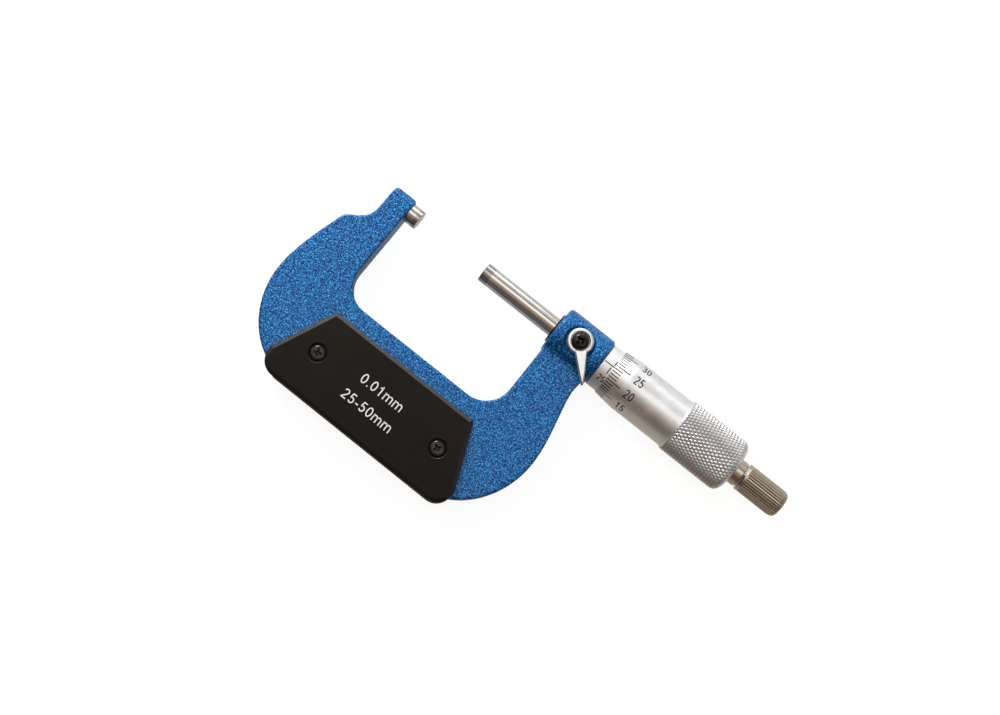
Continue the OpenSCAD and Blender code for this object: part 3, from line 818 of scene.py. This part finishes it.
def outer_sleeve():
    """The graduated sleeve, with the hook spanner's hole in its back."""
    low, high, r = SLEEVE_LOW.x / MM, SLEEVE_HIGH.x / MM, SLEEVE_R / MM
    bore_r, front_edge, rear_edge = 6.22, 0.15, 0.3
    hole_x, hole_r, hole_depth, drill_point = 74.6 * MM, 0.8, 1.0, 0.3
    rows = mm_rows([(low, bore_r), (low, r - front_edge, 0.1), (low + front_edge, r, 0.1),
                    (high - rear_edge, r, 0.2), (high, r - rear_edge, 0.1), (high, bore_r)], True)
    sleeve = turned("outer_sleeve_shell", rows, 256, ring=True)
    bottom = -r + hole_depth
    drill = mm_rows([(-r - 1, 0), (-r - 1, hole_r), (bottom, hole_r), (bottom + drill_point, 0)], False)
    cutter = standing(turned("hole", drill, 32), Vector((hole_x, 0, 0)))
    return combine(sleeve, [cutter], "DIFFERENCE")


def spindle_with_thread():
    """The ground spindle, with its half-millimetre right-hand thread."""
    low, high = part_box("spindle")
    spindle_r, thread_r, thread_depth = 3.175 * MM, high.y, 0.28 * MM
    relief_r = spindle_r - 0.1 * MM
    cone_x, cone_r, cone_end_r = THIMBLE_X + THIMBLE_CONE, 3.5 * MM, 2.9 * MM
    stem_bore_r, stem_bore_x = 1.75 * MM, cone_x + 1 * MM
    thread_end = cone_x - 0.6 * MM
    thread_x = thread_end - 35.3 * MM
    count, steps_per_turn = 64, 8
    phi = TAU * np.arange(count) / count
    rows = [(low.x, 0), (low.x, spindle_r), (thread_x - 2 * PITCH, spindle_r),
            (thread_x - 1.8 * PITCH, relief_r), (thread_x - 0.2 * PITCH, relief_r)]
    x = thread_x
    while x <= thread_end:
        turn = (x / PITCH + phi / TAU) % 1
        height = np.clip(1.5 * (1 - np.abs(2 * turn - 1)) - 0.2, 0, 1)
        rows.append((x, thread_r - thread_depth * (1 - height)))
        x += PITCH / steps_per_turn
    rows += [(thread_end + 0.1 * MM, cone_r), (cone_x, cone_r), (high.x, cone_end_r),
             (high.x, stem_bore_r), (stem_bore_x, stem_bore_r), (stem_bore_x, 0)]
    return turned("spindle_threaded", rows, count)


KNURL_DEPTH = 0.32 * MM
KNURL_STARTS = 48
KNURL_LEAD = 2.2 * MM
KNURL_STEP = KNURL_LEAD / 8


def diamond_knurl(x, phi):
    """0 at the bottom of a groove, 1 on top of a diamond."""
    around = KNURL_STARTS * phi / TAU
    along = x / KNURL_LEAD
    ridges = [1 - np.abs(2 * ((around + side * along) % 1) - 1) for side in (1, -1)]
    return np.clip(1.45 * np.minimum(1 - ridges[0], 1 - ridges[1]), 0, 1)


def knurled_thimble():
    """The thimble: bevel, smooth barrel, diamond knurl, and an end that curves inwards and fades it out."""
    phi = TAU * np.arange(AROUND) / AROUND
    knurl_x = THIMBLE_X + BARREL_L
    round_x = THIMBLE_END - 2.7 * MM
    x0, knurl0, end = THIMBLE_X / MM, knurl_x / MM, THIMBLE_END / MM
    smooth, shoulder, bore = BARREL_R / MM, KNURL_R / MM - 0.12, SLEEVE_R / MM + 0.1
    rows = mm_rows([(x0, bore), (x0, EDGE_R / MM, 0.05), (x0 + BEVEL_L / MM, smooth, 0.4),
                    (knurl0 - 0.55, smooth, 0.15), (knurl0 - 0.15, shoulder, 0.12),
                    (knurl0, shoulder)], False)
    full = [r for _, r in rows]
    cut_rows = [knurl_x + KNURL_STEP * k for k in range(1, int((round_x - knurl_x) / KNURL_STEP) + 1)]
    for x in cut_rows:
        rows.append((x, KNURL_R - KNURL_DEPTH * (1 - diamond_knurl(x - knurl_x, phi))))
        full.append(KNURL_R)
    corner = np.array([(cut_rows[-1], KNURL_R), (THIMBLE_END - 0.9 * MM, KNURL_R),
                       (THIMBLE_END, BARREL_R - 0.6 * MM), (THIMBLE_END, BARREL_R - 2.4 * MM)])
    for t in np.linspace(0, 1, 15)[1:]:
        u = 1 - t
        x, r = u**3 * corner[0] + 3 * u * u * t * corner[1] + 3 * u * t * t * corner[2] + t**3 * corner[3]
        fade = max(0.0, 1 - t * 1.25)
        rows.append((x, r - KNURL_DEPTH * fade * (1 - diamond_knurl(x - knurl_x, phi))))
        full.append(r)
    bore_end, cone, cone_end = x0 + THIMBLE_BORE / MM, x0 + THIMBLE_CONE / MM, x0 + 40
    end_r, stem_r, cone_end_r, cone_r, nut_room_r = 4.6, 2.5, 2.9, 3.5, 6.6
    inner = mm_rows([(end, end_r), (end, stem_r, 0.1), (cone_end, stem_r), (cone_end, cone_end_r),
                     (cone, cone_r), (cone, nut_room_r), (bore_end, nut_room_r), (bore_end, bore)], False)
    rows += inner
    full += [r for _, r in inner]
    made = turned("thimble_knurled", rows, AROUND, ring=True)
    made["count"] = AROUND
    groove_attribute(made, rows, full, KNURL_DEPTH)
    return made


# ---- Ratchet ----

RIDGES = 32
RIDGE_DEPTH = 0.30 * MM


def ridged_knob():
    """Straight-knurled knob with a hexagonal socket, a journal bore and a pocket for the end screw."""
    phi = TAU * np.arange(AROUND) / AROUND
    x0, x1, r = KNOB_LOW.x, KNOB_HIGH.x, KNOB_R
    ridge_top = r - 0.05 * MM
    groove_half, ridge_shape = 0.24, 0.6
    share = (RIDGES * phi / TAU) % 1
    height = np.clip(np.minimum(share, 1 - share) / groove_half, 0, 1) ** ridge_shape
    ridge = ridge_top - RIDGE_DEPTH * (1 - height)
    socket_r = 3.76 * MM
    hexagon = socket_r * math.cos(math.pi / 6) / np.cos((phi % (TAU / 6)) - math.pi / 6)
    end_l, end_drop = 2.2 * MM, 1.15 * MM
    end_start = x1 - end_l
    rows = [(x0, hexagon), (x0, r - 0.25 * MM), (x0 + 0.06 * MM, r - 0.08 * MM), (x0 + 0.2 * MM, r),
            (x0 + 0.8 * MM, r), (x0 + 0.93 * MM, ridge_top), (x0 + 0.98 * MM, ridge),
            (x0 + 1.1 * MM, ridge), (end_start, ridge)]
    full = [0] + [r] * (len(rows) - 1)
    for t in np.linspace(0, 1, 9)[1:]:
        drop = 1 - math.sqrt(1 - (0.96 * t) ** 2)
        edge = ridge_top - end_drop * drop
        rows.append((end_start + end_l * t, edge - (ridge_top - ridge) * (1 - t)))
        full.append(edge)
    pocket_r, journal_r = 3.1 * MM, 2.06 * MM
    pocket_x = x1 - 2.4 * MM
    journal_x = pocket_x - 2 * MM
    tail = [(x1, pocket_r + 0.15 * MM), (x1 - 0.15 * MM, pocket_r), (pocket_x, pocket_r),
            (pocket_x, journal_r), (journal_x, journal_r), (journal_x, hexagon)]
    rows += tail
    full += [0] * len(tail)
    made = turned("ratchet_knob_ridged", rows, AROUND, ring=True)
    made["count"] = AROUND
    groove_attribute(made, rows, full, RIDGE_DEPTH)
    return made


def coil_spring():
    """The ratchet's coil spring, with closed end turns."""
    low, high = SPRING_LOW, SPRING_HIGH
    wire_r = 0.28 * MM
    coil_r = high.y - wire_r
    turns, closed_turns, per_turn, sides = 7.5, 0.8, 28, 10
    count = int(turns * per_turn)
    points = []
    for i in range(count + 1):
        angle = TAU * i / per_turn
        share = np.clip((i / per_turn - closed_turns) / (turns - 2 * closed_turns), 0, 1)
        x = low.x + wire_r + share * (high.x - low.x - 2 * wire_r)
        for j in range(sides):
            around_wire = TAU * j / sides
            r = coil_r + wire_r * math.cos(around_wire)
            points.append((x + wire_r * math.sin(around_wire), r * math.sin(angle), r * math.cos(angle)))
    return mesh_object("ratchet_coil_spring", points, tube_faces(count + 1, sides))


# ---- Lever lock ----

# Where the screw's head sits in the lever, and the radius of the cup around it, in millimetres
LOCK_SEAT = 8.35
LOCK_CUP_R = 2.95


def lock_lever():
    """A ring with a rounded rim, and a flat blade with a facet along each side that runs to a point."""
    low, high = (c.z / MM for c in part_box("lock_lever"))
    ring_r, ring_top = 4.1, high - 0.25
    rim = mm_rows([(low, 0), (low, ring_r, 0.15), (ring_top, ring_r, 0.55), (ring_top, 0)], False, 5)
    disc = standing(turned("lever", rim, 128))
    length = max((v.co.xy - LOCK.xy).length for v in frame["nodes"]["lock_lever"].data.vertices) / MM
    # Distance from the axis, half the width and half the width of the flat top
    sections = ((0.0, 1.85, 1.50), (3.6, 1.85, 1.50), (5.5, 1.62, 1.22), (9.5, 1.05, 0.60),
                (12.4, 0.56, 0.10), (length - 0.25, 0.36, 0.04), (length, 0.12, 0.02))
    base, facet_h, tip_l, tip_slope = high - 1.2, 0.55, 1.5, 0.25
    points = []
    for x, half_w, half_top in sections:
        top = high - tip_slope * max(0.0, x - length + tip_l)
        points += [(x * MM, y * MM, z * MM) for y, z in
                   ((-half_w, base), (half_w, base), (half_w, top - facet_h), (half_top, top),
                    (-half_top, top), (-half_w, top - facet_h))]
    blade = mesh_object("blade", points, tube_faces(len(sections), 6))
    lever = combine(disc, [blade], "UNION")
    cup_r, cup_rim_r, above = LOCK_CUP_R, LOCK_CUP_R + 0.3, high + 1
    cup_rows = mm_rows([(LOCK_SEAT, 0), (LOCK_SEAT, cup_r), (ring_top - 0.22, cup_r, 0.05),
                        (ring_top + 0.05, cup_rim_r), (above, cup_rim_r), (above, 0)], False)
    washer_r, washer_room = 2.45, 6.6
    bore_rows = mm_rows([(low - 1, 0), (low - 1, washer_r), (washer_room, washer_r), (washer_room, 0)], False)
    cup, bore = standing(turned("cup", cup_rows, 96)), standing(turned("bore", bore_rows, 64))
    half_square, drive_low, drive_high = 1.7 * MM, (low - 1) * MM, 9 * MM
    drive_points = [(sx * half_square, sy * half_square, z) for z in (drive_low, drive_high)
                    for sx, sy in CORNERS]
    drive = mesh_object("drive", drive_points, tube_faces(2, 4))
    lever = combine(lever, [cup, bore, drive], "DIFFERENCE")
    lever.name = "lock_lever_shaped"
    lever.data.transform(Matrix.Translation(LOCK) @ Matrix.Rotation(LEVER_ANGLE, 4, "Z"))
    return lever


def lock_screw():
    """The black domed screw, with a worn Phillips recess."""
    low, high = (c.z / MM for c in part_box("lock_screw"))
    point_r, shank_r, head_r, dome_r, crown_r = 0.75, 0.95, 2.8, 1.95, 0.7
    recess_turn = LEVER_ANGLE + 0.5
    recess_l, recess_w, recess_depth = 3.5 * MM, 1.0 * MM, 1.3 * MM
    rows = mm_rows([(low, 0), (low, point_r, 0.05), (low + 0.25, shank_r), (LOCK_SEAT, shank_r),
                    (LOCK_SEAT, head_r, 0.1), (LOCK_SEAT + 0.7, head_r, 0.25), (high - 0.30, dome_r, 1.2),
                    (high, crown_r, 1.5), (high, 0)], False, 6)
    screw = standing(turned("lock_screw_domed", rows, 96), LOCK)
    top = LOCK + Vector((0, 0, high * MM))
    return combine(screw, cross_cutters(top, recess_turn, recess_l, recess_w, recess_depth), "DIFFERENCE")


# ---- Build every piece ----

pebbled_frame()

front_plate = insulating_plate("front_plate_shell")
rear_plate = mirrored(insulating_plate("rear_plate_shell"))
flat_faced(piece(front_plate, PLASTIC, "frame_body", "plate_plastic", "front_insulating_plate", crease=50))
flat_faced(piece(rear_plate, PLASTIC, "frame_body", "plate_plastic", "rear_insulating_plate", crease=50))
front_screws = plate_screws("front_plate_screw_pair")
rear_screws = mirrored(plate_screws("rear_plate_screw_pair"))
piece(front_screws, BLACK, "frame_body", "black_steel", "front_plate_screws")
piece(rear_screws, BLACK, "frame_body", "black_steel", "rear_plate_screws")
piece(plate_print(), PRINT, "frame_body", "plate_plastic")

piece(outer_sleeve(), SATIN, "sleeve_body", "satin_chrome", "outer_sleeve")
piece(sleeve_graduations(), LINES, "sleeve_body", "satin_chrome")
piece(spindle_with_thread(), GROUND, "thimble_body", "ground_steel", "spindle")
piece(knurled_thimble(), KNURLED, "thimble_body", "satin_chrome", "thimble", crease=25)
piece(thimble_graduations(), LINES, "thimble_body", "satin_chrome")

piece(ridged_knob(), NICKEL, "knob_body", "nickel_steel", "ratchet_knob", crease=40)
spring = piece(coil_spring(), SPRING, "knob_body", "spring_steel", "ratchet_spring")
click = next(j for j in frame["joints"] if j["name"] == "ratchet_click")
shortening = max(click["range_m"]) / (SPRING_HIGH.x - SPRING_LOW.x)
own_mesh(spring)

piece(lock_lever(), LEVER_CHROME, "lever_body", "lever_chrome", "lock_lever", crease=28)
piece(lock_screw(), BLACK, "lever_body", "black_steel", "lock_screw")

CARRIED_OVER = {
    "anvil": GROUND, "anvil_tip": CARBIDE, "spindle_guide_bush": BLACK, "inner_sleeve": TURNED,
    "adjusting_nut": TURNED, "spindle_tip": CARBIDE, "ratchet_stem": NICKEL, "ratchet_pawl": TURNED,
    "ratchet_end_screw": NICKEL, "lock_stud": TURNED, "lock_shoe": BRASS, "lock_washer": SPRING,
}
for node_name, node_material in CARRIED_OVER.items():
    node = frame["nodes"][node_name]
    node.data.materials.clear()
    node.data.materials.append(node_material)


# ---- Floor, light and camera ----


def floor():
    """A white floor, evenly bright to the camera; to every other ray it glows as a painted light, so what the
    object mirrors of it is bright behind the axis and dim in front, a painted shade.
    """
    half, below = 3.0, 0.2 * MM
    dim, bright, blend_half = (0.42, 0.38, 0.33), (0.85, 0.85, 0.85), 0.02
    z = CAD_BOX[0].z - below
    plane = mesh_object("floor", [(half * sx, half * sy, z) for sx, sy in CORNERS], [(0, 1, 2, 3)])
    s = Shader("floor_white", Roughness=0.9, Specular_IOR_Level=0.0)
    s.set(Base_Color=(0.22, 0.22, 0.22), Emission_Color=(1, 1, 1), Emission_Strength=0.90)
    across = s.node("SeparateXYZ", Vector=s.place).outputs["Y"]
    side = s.node("MapRange", Value=across, From_Min=-blend_half, From_Max=blend_half).outputs[0]
    # Painted light: this glow, bright behind the axis and dim in front as painted shade, is what the object
    # mirrors and is lit by.
    glow = s.node("Emission", Color=s.ramp(side, (0.0, dim), (1.0, bright)))
    seen = s.node("LightPath").outputs["Is Camera Ray"]
    choose = s.node("MixShader", Fac=seen)
    s.tree.links.new(glow.outputs[0], choose.inputs[1])
    s.tree.links.new(s.surface.outputs[0], choose.inputs[2])
    s.tree.links.new(choose.outputs[0], s.tree.nodes["Material Output"].inputs["Surface"])
    plane.data.materials.append(s.material)


# Tone of the room at angles around the spindle axis, in degrees from +Z towards +Y
LAMP_WHITE, WALL, LOW_WALL = (1.45, 1.43, 1.40), (0.80, 0.80, 0.80), (0.60, 0.59, 0.58)
DARK_GAP, DARK_WALL = (0.16, 0.135, 0.11), (0.15, 0.11, 0.085)
ROOM_TONES = ((-180, (0.30, 0.26, 0.22)), (-95, (0.17, 0.135, 0.11)), (-45, DARK_WALL),
              (-32, (0.40, 0.31, 0.25)), (-10, (0.46, 0.40, 0.34)), (-2, LAMP_WHITE), (19, LAMP_WHITE),
              (24, DARK_GAP), (31, DARK_GAP), (37, WALL), (72, WALL), (84, LOW_WALL),
              (130, (0.62, 0.60, 0.58)), (180, WALL))
# The room dims from its full to its low strength as the direction turns to +X
DIMMING_FROM, DIMMING_TO = 0.15, 0.60
FULL_ROOM, LOW_ROOM = 1.06, 0.45


def studio_world():
    """A white room whose tone changes around the spindle axis, and dims beyond the ratchet's end."""
    world = bpy.data.worlds.new("studio")
    scene.world = world
    world.use_nodes = True
    tree = world.node_tree
    tree.nodes.clear()

    def node(kind, **settings):
        made = tree.nodes.new("ShaderNode" + kind)
        for key, value in settings.items():
            setattr(made, key, value)
        return made

    place = node("TexCoord")
    split = node("SeparateXYZ")
    angle = node("Math", operation="ARCTAN2")
    share = node("MapRange")
    share.inputs["From Min"].default_value = -math.pi
    share.inputs["From Max"].default_value = math.pi
    bands = node("ValToRGB")
    seen = node("LightPath")
    room, backdrop = node("Background"), node("Background")
    choose, out = node("MixShader"), node("OutputWorld")
    bar = bands.color_ramp.elements
    while len(bar) < len(ROOM_TONES):
        bar.new(1)
    for element, (degrees, colour) in zip(bar, ROOM_TONES):
        element.position = (degrees + 180) / 360
        element.color = (*colour, 1)
    side = node("MapRange")
    side.inputs["From Min"].default_value = DIMMING_FROM
    side.inputs["From Max"].default_value = DIMMING_TO
    side.inputs["To Min"].default_value = FULL_ROOM
    side.inputs["To Max"].default_value = LOW_ROOM
    backdrop.inputs["Color"].default_value = (1, 1, 1, 1)
    links = ((place.outputs["Generated"], split.inputs[0]),
             (split.outputs["Y"], angle.inputs[0]),
             (split.outputs["Z"], angle.inputs[1]),
             (angle.outputs[0], share.inputs["Value"]),
             (share.outputs[0], bands.inputs[0]),
             (bands.outputs[0], room.inputs["Color"]),
             (split.outputs["X"], side.inputs["Value"]),
             (side.outputs[0], room.inputs["Strength"]),
             (seen.outputs["Is Camera Ray"], choose.inputs[0]),
             (room.outputs[0], choose.inputs[1]),
             (backdrop.outputs[0], choose.inputs[2]),
             (choose.outputs[0], out.inputs[0]))
    for source, target in links:
        tree.links.new(source, target)


def softbox(name, place, aim, size, power):
    """A rectangular area light turned to its aim."""
    light = bpy.data.lights.new(name, "AREA")
    light.shape = "RECTANGLE"
    light.size, light.size_y = size
    light.energy = power
    lamp = bpy.data.objects.new(name, light)
    lamp.location = place
    lamp.rotation_euler = (aim - place).to_track_quat("-Z", "Y").to_euler()
    scene.collection.objects.link(lamp)


def photo_camera():
    """Looks down on the front, rolled so that the axis runs from the upper left to the lower right."""
    eye = Vector((62, -77, 390)) * MM
    aim = Vector((46.508, -18.080, 0)) * MM
    roll = math.radians(38.456)
    sensor_width_mm, focal_length_mm, nearest = 36, 45.806, 0.01
    lens = bpy.data.cameras.new("camera")
    lens.sensor_width = sensor_width_mm
    lens.lens = focal_length_mm
    lens.clip_start = nearest
    camera = bpy.data.objects.new("camera", lens)
    scene.collection.objects.link(camera)
    view = (aim - eye).normalized()
    along = (Vector((1, 0, 0)) - view * view.x).normalized()
    across = along.cross(view)
    right = math.cos(roll) * along + math.sin(roll) * across
    up = -math.sin(roll) * along + math.cos(roll) * across
    axes = Matrix((right, up, -view)).transposed().to_4x4()
    camera.matrix_world = Matrix.Translation(eye) @ axes
    scene.camera = camera


floor()
studio_world()
MIDDLE = Vector((*((CAD_BOX[0] + CAD_BOX[1]) / 2).xy, 0))
KEY_PLACE, KEY_SIZE, KEY_POWER = MIDDLE + Vector((-0.70, 0.60, 0.66)), (0.26, 0.26), 6.5
STRIP_PLACE, STRIP_SIZE, STRIP_POWER = MIDDLE + Vector((-0.55, 0.75, 0.36)), (1.2, 0.25), 3.5
softbox("key_light", KEY_PLACE, MIDDLE, KEY_SIZE, KEY_POWER)
softbox("strip_light", STRIP_PLACE, MIDDLE, STRIP_SIZE, STRIP_POWER)
photo_camera()
scene.view_settings.view_transform = "Standard"
